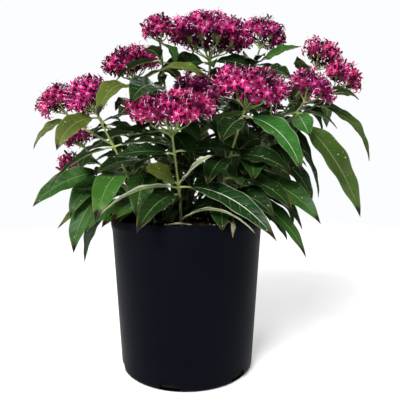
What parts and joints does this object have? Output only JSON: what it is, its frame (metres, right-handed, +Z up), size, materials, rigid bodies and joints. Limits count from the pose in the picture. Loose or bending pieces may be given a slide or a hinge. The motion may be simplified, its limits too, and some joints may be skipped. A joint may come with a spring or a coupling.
{
  "type": "potted pentas plant",
  "caption": "Bushy pentas in a plain black nursery pot: domed heads of small magenta star florets over pointed green leaves on stems that stand in the soil.",
  "frame": {"origin": "centre of the pot's flat foot, on the surface that it stands on", "axes": "+Z up along the pot's axis; -Y towards the front that shows the most flowers; +X to the right"},
  "size_m": [0.3567, 0.2751, 0.3906],
  "materials": {
    "pot": "satin moulded black",
    "soil": "rough peat and bark with white perlite",
    "foliage": "soft satin leaf, paler underneath",
    "petals": "matte velvety petal"
  },
  "bodies": {
    "root": {"flowers_back": "petals", "flowers_back_left": "petals", "flowers_back_left_side": "petals", "flowers_back_right": "petals", "flowers_back_right_side": "petals", "flowers_crest": "petals", "flowers_crest_left": "petals", "flowers_crest_right": "petals", "flowers_front": "petals", "flowers_front_right": "petals", "flowers_left": "petals", "flowers_left_low": "petals", "flowers_left_low_side": "petals", "flowers_left_side": "petals", "flowers_middle": "petals", "flowers_right": "petals", "flowers_right_low": "petals", "flowers_right_low_side": "petals", "flowers_right_side": "petals", "flowers_shoulder": "petals", "pot": "pot", "soil": "soil", "stem_back": "foliage", "stem_back_left": "foliage", "stem_back_right": "foliage", "stem_crest": "foliage", "stem_crest_left": "foliage", "stem_crest_right": "foliage", "stem_front": "foliage", "stem_front_right": "foliage", "stem_left": "foliage", "stem_left_low": "foliage", "stem_middle": "foliage", "stem_right": "foliage", "stem_right_low": "foliage", "stem_shoulder": "foliage"}
  },
  "joints": []
}
